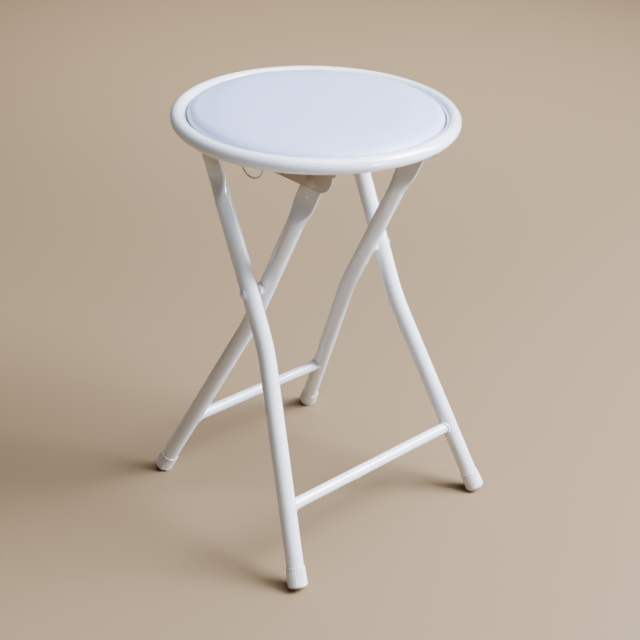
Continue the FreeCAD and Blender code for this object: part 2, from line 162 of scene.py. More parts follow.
soft_light("Window light", (1.30, -1.40, 2.00), 1.4, 1.4, 400.0, (0.79, 0.84, 1.0))
soft_light("Low window light", (1.90, -1.20, 0.95), 0.6, 1.0, 32.0, (0.97, 0.97, 1.0))
soft_light("Front light", (0.50, -2.40, 1.50), 1.6, 1.6, 6.0, (1.0, 0.90, 0.76))
spot_light("Rim fill", (0.10, -2.10, 0.55), RIM_FRONT, 8.5, 480.0, (0.76, 0.87, 1.0))
spot_light("Left fill", (-1.66, -0.92, 1.77), RIM_LEFT, 10.0, 85.0, (0.72, 0.86, 1.0))
spot_light("Far floor light", FAR_LIGHT, FAR_FLOOR, 56.0, 420.0, (1.0, 1.0, 1.0))
add_light("Ceiling light", "SUN", CEILING_FROM, (0, 0, 0), CEILING_STRENGTH, CEILING_COLOUR,
          angle=math.radians(CEILING_ANGLE_DEG))

scene.world = bpy.data.worlds.new("Surround")
scene.world.use_nodes = True
tree = scene.world.node_tree
surround = tree.nodes["Background"]
surround.inputs["Color"].default_value = SURROUND_COLOUR
surround.inputs["Strength"].default_value = SURROUND_STRENGTH
backdrop = put(tree, "ShaderNodeBackground", {"Color": BACKDROP_COLOUR, "Strength": 1.0})
direct_sight = put(tree, "ShaderNodeLightPath").outputs["Is Camera Ray"]
both = put(tree, "ShaderNodeMixShader", {0: direct_sight, 1: surround.outputs[0], 2: backdrop.outputs[0]})
tree.links.new(both.outputs[0], tree.nodes["World Output"].inputs["Surface"])

ahead = Vector((
    math.sin(CAMERA_YAW) * math.cos(CAMERA_PITCH),
    math.cos(CAMERA_YAW) * math.cos(CAMERA_PITCH),
    math.sin(CAMERA_PITCH)))
level = Vector((math.cos(CAMERA_YAW), -math.sin(CAMERA_YAW), 0))
upright = level.cross(ahead)
across = level * math.cos(CAMERA_ROLL) + upright * math.sin(CAMERA_ROLL)
above = upright * math.cos(CAMERA_ROLL) - level * math.sin(CAMERA_ROLL)
lens = bpy.data.cameras.new("Camera")
lens.lens = CAMERA_LENS
lens.sensor_width = SENSOR_WIDTH
camera = bpy.data.objects.new("Camera", lens)
camera.matrix_world = Matrix.LocRotScale(
    CAMERA_PLACE, Matrix((across, above, -ahead)).transposed().to_quaternion(), None)
scene.collection.objects.link(camera)
scene.camera = camera

# Legs
# Four lengths of thin steel tube, bent once outwards below the crossing and pressed flat at the top.
# They are sprayed with gloss white paint, which dries with a faint orange peel and soft handling marks.
PAINT_WHITE = (0.79, 0.835, 0.885, 1.0)
PAINT_DULL = (0.69, 0.715, 0.74, 1.0)
PAINT_DUST = (0.56, 0.53, 0.49, 1.0)
PEEL_SCALE = 330.0
PEEL_DEPTH = 0.00006
DUST_FROM = 0.0
DUST_TO = 0.055


def new_group(name, given, made):
    """An empty shader group with named number inputs and outputs."""
    group = bpy.data.node_groups.new(name, "ShaderNodeTree")
    for label, value in given.items():
        socket = group.interface.new_socket(label, in_out="INPUT", socket_type="NodeSocketFloat")
        socket.default_value = value
    for label in made:
        group.interface.new_socket(label, in_out="OUTPUT", socket_type="NodeSocketFloat")
    return group, put(group, "NodeGroupInput").outputs, put(group, "NodeGroupOutput").inputs


def use_group(tree, group, **values):
    """Place a group in a material with its own values."""
    node = put(tree, "ShaderNodeGroup", node_tree=group)
    for label, value in values.items():
        node.inputs[label.replace("_", " ").capitalize()].default_value = value
    return node.outputs


def spread(tree, value, low, high, to_low=0.0, to_high=1.0):
    """The socket of a value stretched smoothly from one range to another."""
    node = put(tree, "ShaderNodeMapRange", {
        "Value": value, "From Min": low, "From Max": high, "To Min": to_low, "To Max": to_high},
        interpolation_type="SMOOTHSTEP")
    return node.outputs["Result"]


def work_out(tree, operation, *values):
    """The socket of a sum on numbers and sockets."""
    return put(tree, "ShaderNodeMath", dict(enumerate(values)), operation=operation).outputs[0]


def noise(tree, scale, detail=2.0, vector=None):
    """The socket of a noise pattern on the piece's own coordinates."""
    place = vector or put(tree, "ShaderNodeTexCoord").outputs["Object"]
    node = put(tree, "ShaderNodeTexNoise", {"Vector": place, "Scale": scale, "Detail": detail})
    return node.outputs["Fac"]


# Soft patches and small specks that touch and handling leave
marks, given, made = new_group(
    "Handling marks", {"Patch scale": 11.0, "Speck scale": 240.0}, ("Patches", "Specks"))
marks.links.new(spread(marks, noise(marks, given["Patch scale"], 4.0), 0.38, 0.68), made["Patches"])
marks.links.new(spread(marks, noise(marks, given["Speck scale"], 3.0), 0.64, 0.72), made["Specks"])

# Fine lumps of a sprayed or moulded skin
skin, given, made = new_group("Skin lumps", {"Scale": 300.0, "Fine share": 0.25}, ("Height",))
coarse = noise(skin, given["Scale"], 1.0)
fine = noise(skin, work_out(skin, "MULTIPLY", given["Scale"], 3.7), 2.0)
lumps = work_out(skin, "MULTIPLY_ADD", fine, given["Fine share"], coarse)
skin.links.new(lumps, made["Height"])

# Dust that gathers near the floor
dust, given, made = new_group("Floor dust", {"Low": 0.0, "High": 0.05}, ("Mask",))
place = put(dust, "ShaderNodeTexCoord").outputs["Object"]
height = put(dust, "ShaderNodeSeparateXYZ", {"Vector": place}).outputs["Z"]
near = spread(dust, height, given["Low"], given["High"], 1.0, 0.0)
patchy = spread(dust, noise(dust, 120.0, 4.0, place), 0.35, 0.75)
dust.links.new(work_out(dust, "MULTIPLY", near, patchy), made["Mask"])


def tint(tree, mask, share, first, second):
    """The socket of a colour that turns into another by a share of a mask."""
    return blend_colours(tree, work_out(tree, "MULTIPLY", mask, share), first, second)


def lay_on(tree, shader, colour, roughness):
    """Lead a colour and a roughness into a shader."""
    tree.links.new(colour, shader.inputs["Base Color"])
    tree.links.new(roughness, shader.inputs["Roughness"])


def raise_skin(tree, shader, height, depth, strength):
    """Bump a shader's surface by a height."""
    bump = put(tree, "ShaderNodeBump", {"Height": height, "Distance": depth, "Strength": strength})
    tree.links.new(bump.outputs["Normal"], shader.inputs["Normal"])


white_paint, tree, shader = new_material("Gloss white paint")
worn = use_group(tree, marks, patch_scale=13.0, speck_scale=310.0)
low_dust = use_group(tree, dust, low=DUST_FROM, high=DUST_TO)["Mask"]
tone = tint(tree, worn["Patches"], 0.22, PAINT_WHITE, PAINT_DULL)
tone = tint(tree, worn["Specks"], 0.18, tone, PAINT_DULL)
tone = tint(tree, low_dust, 0.30, tone, PAINT_DUST)
gloss = work_out(tree, "MULTIPLY_ADD", worn["Patches"], 0.08, 0.13)
lay_on(tree, shader, tone, work_out(tree, "MULTIPLY_ADD", low_dust, 0.20, gloss))
shader.inputs["Coat Weight"].default_value = 1.0
shader.inputs["Coat Roughness"].default_value = 0.03
raise_skin(tree, shader, use_group(tree, skin, scale=PEEL_SCALE, fine_share=0.2)["Height"], PEEL_DEPTH, 0.55)


def finish_nodes(material, *names):
    """Give CAD pieces their finish."""
    for name in names:
        nodes[name].material_slots[0].material = material


SIDES = {"left": -1.0, "right": 1.0}
LEG_SETS = ("inner", "outer")
finish_nodes(white_paint, *[f"{legs}_leg_{side}" for legs in LEG_SETS for side in SIDES])

# Cross bars
# A thinner tube between the legs of each frame, its ends coped to the legs and welded all round.
# The beads are painted over with the frame, so only their soft ripples show.
TUBE_R = 0.0095
SPLAY = math.radians(10.0)
BEND_BELOW_CROSS = 0.062
HALF_WIDTH = {"inner": 0.0715, "outer": 0.0955}
BEAD_R = 0.0017
BEAD_RIPPLE = 0.10
BEAD_RIPPLE_LENGTH = 0.0024
BEAD_STEP = 0.0007
BEAD_SIDES = 12
LOOP_POINTS = 72

finish_nodes(white_paint, *[f"{legs}_cross_bar" for legs in LEG_SETS])
crossing = Vector(frame["joints"][0]["pos_m"])


def new_geometry_tree(name, inputs):
    """An empty geometry tree with named inputs, the identifiers of those inputs, and its two ends."""
    tree = bpy.data.node_groups.new(name, "GeometryNodeTree")
    tree.interface.new_socket("Geometry", in_out="INPUT", socket_type="NodeSocketGeometry")
    keys = {}
    for label, kind in inputs.items():
        socket = tree.interface.new_socket(label, in_out="INPUT", socket_type="NodeSocket" + kind)
        keys[label] = socket.identifier
    tree.interface.new_socket("Geometry", in_out="OUTPUT", socket_type="NodeSocketGeometry")
    return tree, keys, put(tree, "NodeGroupInput").outputs, put(tree, "NodeGroupOutput").inputs


def close_tree(tree, geometry, material, made, smooth=True):
    """End a tree with faces of one material, smooth or as they came, and no instances left."""
    if smooth:
        geometry = put(tree, "GeometryNodeSetShadeSmooth", {"Geometry": geometry}).outputs[0]
    real = put(tree, "GeometryNodeRealizeInstances", {"Geometry": geometry}).outputs[0]
    finished = put(tree, "GeometryNodeSetMaterial", {"Geometry": real, "Material": material}).outputs[0]
    tree.links.new(finished, made["Geometry"])


def evaluated_mesh(piece):
    """The plain mesh that an object shows with its modifiers."""
    return bpy.data.meshes.new_from_object(piece.evaluated_get(bpy.context.evaluated_depsgraph_get()))


def run_tree(name, mesh, tree, keys, values):
    """The plain mesh that a geometry tree makes from a start mesh with these input values."""
    start = new_object(name + " start", mesh)
    modifier = start.modifiers.new("Tree", "NODES")
    modifier.node_group = tree
    for label, value in values.items():
        modifier[keys[label]] = value
    made = evaluated_mesh(start)
    made.name = name
    bpy.data.objects.remove(start)
    return made


def paths_mesh(name, paths):
    """A mesh of lines, one for each list of points.  A path that ends where it starts is closed."""
    def draw(shape):
        for path in paths:
            closed = (Vector(path[0]) - Vector(path[-1])).length < 1e-7
            spots = [shape.verts.new(point) for point in (path[:-1] if closed else path)]
            for first, second in zip(spots, spots[1:]):
                shape.edges.new((first, second))
            if closed:
                shape.edges.new((spots[-1], spots[0]))
    return mesh_from(name, draw)


def turn_outwards(mesh):
    """Merge a mesh's doubles and point its faces outwards."""
    shape = bmesh.new()
    shape.from_mesh(mesh)
    bmesh.ops.remove_doubles(shape, verts=shape.verts, dist=1e-6)
    bmesh.ops.recalc_face_normals(shape, faces=shape.faces)
    shape.to_mesh(mesh)
    shape.free()


bead_tree, bead_keys, given, made = new_geometry_tree("Weld bead", {
    "Radius": "Float", "Ripple": "Float", "Ripple Length": "Float", "Step": "Float",
    "Sides": "Int", "Material": "Material"})
line = put(bead_tree, "GeometryNodeMeshToCurve", {"Mesh": given["Geometry"]}).outputs[0]
line = put(bead_tree, "GeometryNodeResampleCurve", {
    "Curve": line, "Length": given["Step"]}, mode="LENGTH").outputs[0]
along = put(bead_tree, "GeometryNodeSplineParameter").outputs["Length"]
turns = work_out(bead_tree, "DIVIDE", along, given["Ripple Length"])
wave = work_out(bead_tree, "SINE", work_out(bead_tree, "MULTIPLY", turns, 2 * math.pi))
swell = work_out(bead_tree, "MULTIPLY_ADD", wave, given["Ripple"], 1.0)
ring = put(bead_tree, "GeometryNodeCurvePrimitiveCircle", {
    "Resolution": given["Sides"], "Radius": given["Radius"]})
bead = put(bead_tree, "GeometryNodeCurveToMesh", {
    "Curve": line, "Profile Curve": ring.outputs["Curve"], "Scale": swell, "Fill Caps": True})
close_tree(bead_tree, bead.outputs[0], given["Material"], made)


def weld(name, body, paths, radius):
    """A rippled, painted weld bead along paths."""
    mesh = run_tree(name, paths_mesh(name, paths), bead_tree, bead_keys, {
        "Radius": radius, "Ripple": BEAD_RIPPLE, "Ripple Length": BEAD_RIPPLE_LENGTH,
        "Step": BEAD_STEP, "Sides": BEAD_SIDES, "Material": white_paint})
    turn_outwards(mesh)
    piece = new_object(name, mesh)
    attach(piece, body)
    return piece


def bar_end_loop(legs, side):
    """The line where a cross bar's surface meets a leg's, once round."""
    low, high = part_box(f"{legs}_cross_bar")
    centre = (low + high) / 2
    bar_r = (high.y - low.y) / 2
    lean = math.atan2(centre.y - crossing.y, crossing.z - centre.z)
    drop = math.hypot(centre.y - crossing.y, crossing.z - centre.z)
    reach = HALF_WIDTH[legs] + (drop - BEND_BELOW_CROSS) * math.tan(SPLAY)
    leg_x, leg_z = side * math.sin(SPLAY), -math.cos(SPLAY)
    loop = []
    for step in range(LOOP_POINTS + 1):
        turn = 2 * math.pi * (step % LOOP_POINTS) / LOOP_POINTS
        y, z = bar_r * math.cos(turn), bar_r * math.sin(turn)
        half_b = z * leg_x * leg_z
        free = y * y + z * z * (1 - leg_z ** 2) - TUBE_R ** 2
        square = 1 - leg_x ** 2
        x = (half_b - side * math.sqrt(half_b ** 2 - square * free)) / square
        loop.append(Vector((side * reach + x, y, z)))
    turned = Matrix.Translation(centre) @ Matrix.Rotation(lean, 4, "X")
    return [turned @ point for point in loop]


for legs in LEG_SETS:
    weld(f"{legs}_bar_welds", f"{legs}_frame", [bar_end_loop(legs, side) for side in SIDES.values()], BEAD_R)

# Foot caps
# White plastic caps pushed over the tube ends.  Each has a thin lip at its mouth, fine flutes
# down its wall and a rounded toe that has worn flat where it stands on the floor.
PLASTIC_WHITE = (0.78, 0.775, 0.755, 1.0)
PLASTIC_GREY = (0.60, 0.585, 0.555, 1.0)
PLASTIC_DIRT = (0.36, 0.32, 0.28, 1.0)
GRIME_FROM = 0.001
GRIME_TO = 0.014
FOOT_Y = {"inner": 0.1333, "outer": -0.1445}
CAP_R = 0.0109
CAP_LENGTH = 0.0222
CAP_TAPER = 0.0007
CAP_LIP_HEIGHT = 0.0009
CAP_LIP_OUT = 0.00015
CAP_TOE_R = 0.0036
CAP_FLOOR = 0.003
CAP_TOE_FLAT = 0.0008
FLUTES = 26
FLUTE_DEPTH = 0.00048
FLUTE_STEPS = 6
FLUTE_RUN_IN = 14.0
WALL_STEPS = 14

white_plastic, tree, shader = new_material("White plastic")
worn = use_group(tree, marks, patch_scale=60.0, speck_scale=900.0)
grime = use_group(tree, dust, low=GRIME_FROM, high=GRIME_TO)["Mask"]
tone = tint(tree, worn["Patches"], 0.35, PLASTIC_WHITE, PLASTIC_GREY)
tone = tint(tree, grime, 0.45, tone, PLASTIC_DIRT)
lay_on(tree, shader, tone, work_out(tree, "MULTIPLY_ADD", worn["Patches"], 0.12, 0.36))
shader.inputs["Subsurface Weight"].default_value = 0.08
shader.inputs["Subsurface Scale"].default_value = 0.002
raise_skin(tree, shader, use_group(tree, skin, scale=1400.0, fine_share=0.4)["Height"], 0.00004, 0.5)

turned_tree, turned_keys, given, made = new_geometry_tree("Turned and grooved", {
    "Turn Steps": "Int", "Grooves": "Int", "Unevenness": "Float", "Material": "Material"})
size = put(turned_tree, "GeometryNodeAttributeDomainSize", {"Geometry": given["Geometry"]})
count = size.outputs["Point Count"]
grid = put(turned_tree, "GeometryNodeMeshGrid", {
    "Size X": 1.0, "Size Y": 1.0, "Vertices X": given["Turn Steps"], "Vertices Y": count}).outputs["Mesh"]
place = put(turned_tree, "GeometryNodeInputPosition").outputs[0]
spot = put(turned_tree, "ShaderNodeSeparateXYZ", {"Vector": place}).outputs
angle = work_out(turned_tree, "MULTIPLY", work_out(turned_tree, "ADD", spot["X"], 0.5), 2 * math.pi)
last_row = work_out(turned_tree, "SUBTRACT", count, 1.0)
row = work_out(turned_tree, "ROUND", work_out(
    turned_tree, "MULTIPLY", work_out(turned_tree, "ADD", spot["Y"], 0.5), last_row))


def profile_value(source):
    """The value that a profile point holds, taken by the row of the turned surface."""
    node = put(turned_tree, "GeometryNodeSampleIndex", {
        "Geometry": given["Geometry"], "Value": source, "Index": row},
        data_type="FLOAT_VECTOR", domain="POINT")
    return put(turned_tree, "ShaderNodeSeparateXYZ", {"Vector": node.outputs["Value"]}).outputs


at = profile_value(place)
groove = profile_value(put(
    turned_tree, "GeometryNodeInputNamedAttribute", {"Name": "groove"}, data_type="FLOAT_VECTOR").outputs[0])
cosine = work_out(turned_tree, "COSINE", angle)
sine = work_out(turned_tree, "SINE", angle)
circle = put(turned_tree, "ShaderNodeCombineXYZ", {"X": cosine, "Y": sine}).outputs[0]
wander = work_out(turned_tree, "SUBTRACT", noise(turned_tree, 2.6, 2.0, circle), 0.5)
wander = work_out(turned_tree, "MULTIPLY", wander, given["Unevenness"])
phase = work_out(turned_tree, "MULTIPLY_ADD", angle, given["Grooves"], wander)
wave = work_out(turned_tree, "MULTIPLY_ADD", work_out(turned_tree, "COSINE", phase), -0.5, 0.5)
radius = work_out(turned_tree, "MULTIPLY_ADD", groove["X"], wave, at["X"])
rise = work_out(turned_tree, "MULTIPLY_ADD", groove["Z"], wave, at["Z"])
new_place = put(turned_tree, "ShaderNodeCombineXYZ", {
    "X": work_out(turned_tree, "MULTIPLY", radius, cosine),
    "Y": work_out(turned_tree, "MULTIPLY", radius, sine),
    "Z": rise}).outputs[0]
moved = put(turned_tree, "GeometryNodeSetPosition", {"Geometry": grid, "Position": new_place}).outputs[0]
joined = put(turned_tree, "GeometryNodeMergeByDistance", {"Geometry": moved, "Distance": 1e-6}).outputs[0]
close_tree(turned_tree, joined, given["Material"], made)


def profile_mesh(name, points):
    """A half section as a line of points, each (radius, height, groove outwards, groove upwards)."""
    mesh = paths_mesh(name, [[(r, 0, z) for r, z, _, _ in points]])
    grooves = mesh.attributes.new("groove", "FLOAT_VECTOR", "POINT")
    for item, (_, _, out, up) in zip(grooves.data, points):
        item.vector = (out, 0, up)
    return mesh


def ungrooved(points):
    """Points (radius, height) of a half section as profile points without grooves."""
    return [(r, z, 0.0, 0.0) for r, z in points]


def turn_profile(name, points, steps, material, grooves=1, unevenness=0.0):
    """The mesh of a half section turned once round, with grooves where its points have them."""
    return run_tree(name, profile_mesh(name, points), turned_tree, turned_keys, {
        "Turn Steps": steps + 1, "Grooves": grooves, "Unevenness": unevenness, "Material": material})


def arc(centre_r, centre_z, radius, start_deg, end_deg, steps):
    """Points (radius, height) along an arc of a half section."""
    spots = []
    for step in range(steps + 1):
        turn = math.radians(start_deg + (end_deg - start_deg) * step / steps)
        spots.append((centre_r + radius * math.cos(turn), centre_z + radius * math.sin(turn)))
    return spots


def cap_profile():
    """Half section of a cap: socket, mouth with its thin lip, fluted tapering wall, toe."""
    mouth_r = CAP_R - CAP_TAPER
    lip_r = mouth_r + CAP_LIP_OUT
    lip_low = CAP_LENGTH - CAP_LIP_HEIGHT
    corner = CAP_LIP_OUT
    mouth = [(0.0, CAP_FLOOR), (TUBE_R, CAP_FLOOR), (TUBE_R, CAP_LENGTH)]
    mouth += arc(lip_r - corner, CAP_LENGTH - corner, corner, 90, 0, 4)
    mouth += arc(lip_r - corner, lip_low + corner, corner, 0, -90, 4)
    wall_top = lip_low - corner
    points = ungrooved(mouth)
    for step in range(WALL_STEPS + 1):
        share = step / WALL_STEPS
        ends = min(1.0, share * FLUTE_RUN_IN, (1 - share) * FLUTE_RUN_IN)
        r = mouth_r + CAP_TAPER * share
        points.append((r, wall_top + (CAP_TOE_R - wall_top) * share, -FLUTE_DEPTH * ends, 0.0))
    toe = arc(CAP_R - CAP_TOE_R, CAP_TOE_R, CAP_TOE_R, 0, -90, 10)[1:]
    return points + ungrooved(toe + [(0.0, 0.0)])


def cap_place(legs, side):
    """Where a cap's base middle is and how it leans, from the leg that it is pushed on."""
    lean = math.atan2(FOOT_Y[legs] - crossing.y, crossing.z)
    tilt = math.acos(math.cos(SPLAY) * math.cos(lean))
    dip = CAP_TOE_R - CAP_TOE_R * math.cos(tilt) + (CAP_R - CAP_TOE_R) * math.sin(tilt)
    lift = (dip - CAP_TOE_FLAT) / math.cos(tilt)
    reach = (crossing.z / math.cos(lean) - BEND_BELOW_CROSS) / math.cos(SPLAY) - lift
    down = Vector((side * math.sin(SPLAY), 0, -math.cos(SPLAY)))
    base = Vector((side * HALF_WIDTH[legs], 0, -BEND_BELOW_CROSS)) + down * reach
    stand = Matrix.Translation(crossing) @ Matrix.Rotation(lean, 4, "X")
    return stand @ Matrix.Translation(base) @ (-down).to_track_quat("Z", "Y").to_matrix().to_4x4()


for legs in LEG_SETS:
    pair = bmesh.new()
    for side in SIDES.values():
        cap = turn_profile("cap", cap_profile(), FLUTES * FLUTE_STEPS, white_plastic, FLUTES)
        cap.transform(cap_place(legs, side))
        pair.from_mesh(cap)
    everything = pair.verts[:] + pair.edges[:] + pair.faces[:]
    cut = bmesh.ops.bisect_plane(
        pair, geom=everything, plane_co=(0, 0, 0), plane_no=(0, 0, 1), clear_inner=True)
    rims = [item for item in cut["geom_cut"] if isinstance(item, bmesh.types.BMEdge)]
    bmesh.ops.contextual_create(pair, geom=rims)
    open_edges = [edge for edge in pair.edges if edge.is_boundary]
    bmesh.ops.holes_fill(pair, edges=open_edges, sides=0)
    bmesh.ops.recalc_face_normals(pair, faces=pair.faces)
    caps_mesh = bpy.data.meshes.new(f"{legs}_foot_caps")
    pair.to_mesh(caps_mesh)
    pair.free()
    caps = new_object(f"{legs}_foot_caps", caps_mesh, white_plastic)
    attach(caps, f"{legs}_frame")
    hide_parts(*[f"{legs}_foot_cap_{side}" for side in SIDES])

# Crossing rivets and spacers
# A steel rivet through both legs on each side is the scissor's pivot.  It is painted with the legs,
# and a plastic collar on it keeps the two tubes from rubbing.
finish_nodes(white_paint, *[f"crossing_rivet_{side}" for side in SIDES])
finish_nodes(white_plastic, *[f"crossing_spacer_{side}" for side in SIDES])

# Seat rim
# A ring of thicker steel tube that holds the pad, butt-welded, ground smooth and painted like the legs.
finish_nodes(white_paint, "seat_rim")

# Seat rails, hooks and hinge
# Two pressed steel angles under the seat, welded to the rim, with the hinge of the inner legs in front and
# a welded hook for the outer legs' pins behind.  Their white is painted darker and browner:
# painted shade under the seat and a painted reflection of the brown floor.
# Painted shade and painted reflection: a darker, browner white stands in for the shade under the seat.
SHADED_RAIL_PAINT = (0.63, 0.57, 0.495, 1.0)
SHADED_RAIL_PAINT_WORN = (0.50, 0.445, 0.385, 1.0)
EAR_BEAD_R = 0.0015
PLATE_BEAD_R = 0.0012
EAR_FROM_DEG = -178.0
EAR_TO_DEG = -122.0
EAR_POINTS = 24
HOOK_WELD_SHARES = (0.35, 0.5, 0.65, 0.8)

# Rails, hook plates and seat rivets get this painted-shade white, with worn patches and specks on top.
shaded_rail_paint, tree, shader = new_material("White paint with painted shade")
worn = use_group(tree, marks, patch_scale=24.0, speck_scale=420.0)
tone = tint(tree, worn["Patches"], 0.45, SHADED_RAIL_PAINT, SHADED_RAIL_PAINT_WORN)
tone = tint(tree, worn["Specks"], 0.35, tone, SHADED_RAIL_PAINT_WORN)
lay_on(tree, shader, tone, work_out(tree, "MULTIPLY_ADD", worn["Patches"], 0.14, 0.30))
raise_skin(tree, shader, use_group(tree, skin, scale=PEEL_SCALE, fine_share=0.4)["Height"], PEEL_DEPTH, 0.8)
for side in SIDES:
    finish_nodes(shaded_rail_paint, f"seat_rail_{side}", f"hook_plate_{side}", f"seat_rivet_{side}")
    finish_nodes(white_paint, f"hook_pin_{side}")
rim_low, rim_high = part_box("seat_rim")
RIM_TUBE_R = (rim_high.z - rim_low.z) / 2
RIM_R = rim_high.x - RIM_TUBE_R
RIM_Z = (rim_high.z + rim_low.z) / 2


def ear_line(x, end):
    """The line where a rail's side meets the rim's tube, under the rim."""
    line = []
    for step in range(EAR_POINTS + 1):
        turn = math.radians(EAR_FROM_DEG + (EAR_TO_DEG - EAR_FROM_DEG) * step / EAR_POINTS)
        radius = RIM_R + RIM_TUBE_R * math.cos(turn)
        y = end * math.sqrt(radius ** 2 - x ** 2)
        line.append(Vector((x, y, RIM_Z + RIM_TUBE_R * math.sin(turn))))
    return line


rail_welds = []
for name, side in SIDES.items():
    low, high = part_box(f"seat_rail_{name}")
    outer_x = side * max(abs(low.x), abs(high.x))
    rail_welds += [ear_line(outer_x, end) for end in (-1.0, 1.0)]
weld("rail_welds", "seat", rail_welds, EAR_BEAD_R)

hook_welds = []
for name, side in SIDES.items():
    low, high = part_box(f"hook_plate_{name}")
    web_x = side * min(abs(low.x), abs(high.x))
    for y in (low.y, high.y):
        heights = [low.z + (high.z - low.z) * share for share in HOOK_WELD_SHARES]
        hook_welds.append([Vector((web_x, y, z)) for z in heights])
weld("hook_welds", "seat", hook_welds, PLATE_BEAD_R)

# Washers and wire loop
# Plated steel washers run between the inner legs and the rails.  The loop is bent from thin bright
# drawn wire and its ends are tacked to the left rail.
STEEL_BRIGHT = (0.74, 0.74, 0.75, 1.0)
STEEL_DULL = (0.44, 0.44, 0.45, 1.0)
TACK_R = 0.0016
TACK_DEPTHS = (0.006, 0.001)

bare_steel, tree, shader = new_material("Plated steel")
worn = use_group(tree, marks, patch_scale=90.0, speck_scale=700.0)
tone = blend_colours(tree, worn["Patches"], STEEL_BRIGHT, STEEL_DULL)
lay_on(tree, shader, tone, work_out(tree, "MULTIPLY_ADD", worn["Patches"], 0.20, 0.36))
shader.inputs["Metallic"].default_value = 1.0
raise_skin(tree, shader, use_group(tree, skin, scale=900.0, fine_share=0.5)["Height"], 0.00003, 0.5)
finish_nodes(bare_steel, "wire_loop", *[f"seat_washer_{side}" for side in SIDES])

low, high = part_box("wire_loop")
wire_r = (high.x - low.x) / 2
wire_ends = (low.y + wire_r, high.y - wire_r)
tacks = [[Vector((low.x, y, high.z - depth)) for depth in TACK_DEPTHS] for y in wire_ends]
weld("wire_tacks", "seat", tacks, TACK_R)

# Board and its screws
# A disc of plywood under the foam, raw underneath, held down on the rails' flanges by four
# plated pan-head screws with cross recesses.
PLY_PALE = (0.50, 0.35, 0.205, 1.0)
PLY_DARK = (0.36, 0.235, 0.125, 1.0)
HEAD_R = 0.004
HEAD_HEIGHT = 0.0022
RECESS_LENGTH = 0.0046
RECESS_WIDTH = 0.0009
RECESS_DEPTH = 0.0013
RECESS_TAPER = 0.35
SCREW_SIDES = 48
SCREW_SPIN = 1.5
SCREW_SEED = 4

plywood, tree, shader = new_material("Raw plywood")
place = put(tree, "ShaderNodeTexCoord").outputs["Object"]
drawn = put(tree, "ShaderNodeMapping", {"Vector": place, "Scale": (7.0, 110.0, 60.0)}).outputs[0]
figure = put(tree, "ShaderNodeTexNoise", {"Vector": drawn, "Scale": 1.6, "Detail": 6.0, "Distortion": 0.6})
pores = put(tree, "ShaderNodeTexNoise", {"Vector": drawn, "Scale": 9.0, "Detail": 3.0})
streaks = spread(tree, figure.outputs["Fac"], 0.35, 0.68)
tone = blend_colours(tree, streaks, PLY_PALE, PLY_DARK)
tree.links.new(tone, shader.inputs["Base Color"])
shader.inputs["Roughness"].default_value = 0.72
raise_skin(tree, shader, pores.outputs["Fac"], 0.00025, 0.4)
finish_nodes(plywood, "seat_board")

screw_low, screw_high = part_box("board_screws")
board_low, board_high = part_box("seat_board")


def cross_cutter(shape):
    """Two crossed tapered blades that cut a screw's recess."""
    for turn in (0.0, 90.0):
        blade = bmesh.ops.create_cube(shape, size=1.0)["verts"]
        for vert in blade:
            taper = RECESS_TAPER if vert.co.z > 0 else 1.0
            vert.co.x *= RECESS_LENGTH * taper
            vert.co.y *= RECESS_WIDTH
            vert.co.z *= 2 * RECESS_DEPTH
        bmesh.ops.rotate(shape, verts=blade, matrix=Matrix.Rotation(math.radians(turn), 3, "Z"))


def work_in(piece, kind, **settings):
    """Work a modifier into an object's mesh."""
    modifier = piece.modifiers.new(kind, kind)
    for key, value in settings.items():
        setattr(modifier, key, value)
    piece.data = evaluated_mesh(piece)
    piece.modifiers.remove(modifier)


def screw_mesh():
    """One pan-head screw, head down, its shank running up into the board."""
    ball_r = (HEAD_R ** 2 + HEAD_HEIGHT ** 2) / (2 * HEAD_HEIGHT)
    sweep = math.degrees(math.asin(HEAD_R / ball_r))
    dome = arc(0.0, ball_r - HEAD_HEIGHT, ball_r, -90, -90 + sweep, 10)
    shank_r = HEAD_R / 2
    top = screw_high.z - screw_low.z - HEAD_HEIGHT
    points = dome + [(HEAD_R, 0.0), (shank_r, 0.0), (shank_r, top), (0.0, top)]
    points[0] = (0.0, points[0][1])
    plain = turn_profile("screw", ungrooved(points), SCREW_SIDES, bare_steel)
    turn_outwards(plain)
    body = new_object("screw body", plain)
    blades = mesh_from("recess", cross_cutter)
    blades.transform(Matrix.Translation((0, 0, -HEAD_HEIGHT)))
    cutter = new_object("recess", blades)
    work_in(body, "BOOLEAN", object=cutter, solver="EXACT", use_self=True)
    made = body.data
    bpy.data.objects.remove(body)
    bpy.data.objects.remove(cutter)
    return made


screw_tree, screw_keys, given, made = new_geometry_tree("Screws at four corners", {
    "Across": "Float", "Along": "Float", "Height": "Float", "Material": "Material"})
corners = put(screw_tree, "GeometryNodeMeshGrid", {
    "Size X": given["Across"], "Size Y": given["Along"], "Vertices X": 2, "Vertices Y": 2}).outputs["Mesh"]
lift = put(screw_tree, "ShaderNodeCombineXYZ", {"Z": given["Height"]}).outputs[0]
lifted = put(screw_tree, "GeometryNodeSetPosition", {"Geometry": corners, "Offset": lift}).outputs[0]
chance = put(screw_tree, "FunctionNodeRandomValue", {
    2: 0.0, 3: SCREW_SPIN, "Seed": SCREW_SEED}, data_type="FLOAT")
spin = put(screw_tree, "ShaderNodeCombineXYZ", {"Z": chance.outputs[1]}).outputs[0]
turned = put(screw_tree, "FunctionNodeEulerToRotation", {"Euler": spin}).outputs[0]
placed = put(screw_tree, "GeometryNodeInstanceOnPoints", {
    "Points": lifted, "Instance": given["Geometry"], "Rotation": turned}).outputs[0]
close_tree(screw_tree, placed, given["Material"], made, smooth=False)
screws_mesh = run_tree("pan_head_screws", screw_mesh(), screw_tree, screw_keys, {
    "Across": screw_high.x - screw_low.x - 2 * HEAD_R,
    "Along": screw_high.y - screw_low.y - 2 * HEAD_R,
    "Height": screw_low.z + HEAD_HEIGHT,
    "Material": bare_steel})
screws = new_object("pan_head_screws", screws_mesh)
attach(screws, "seat")
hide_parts("board_screws")

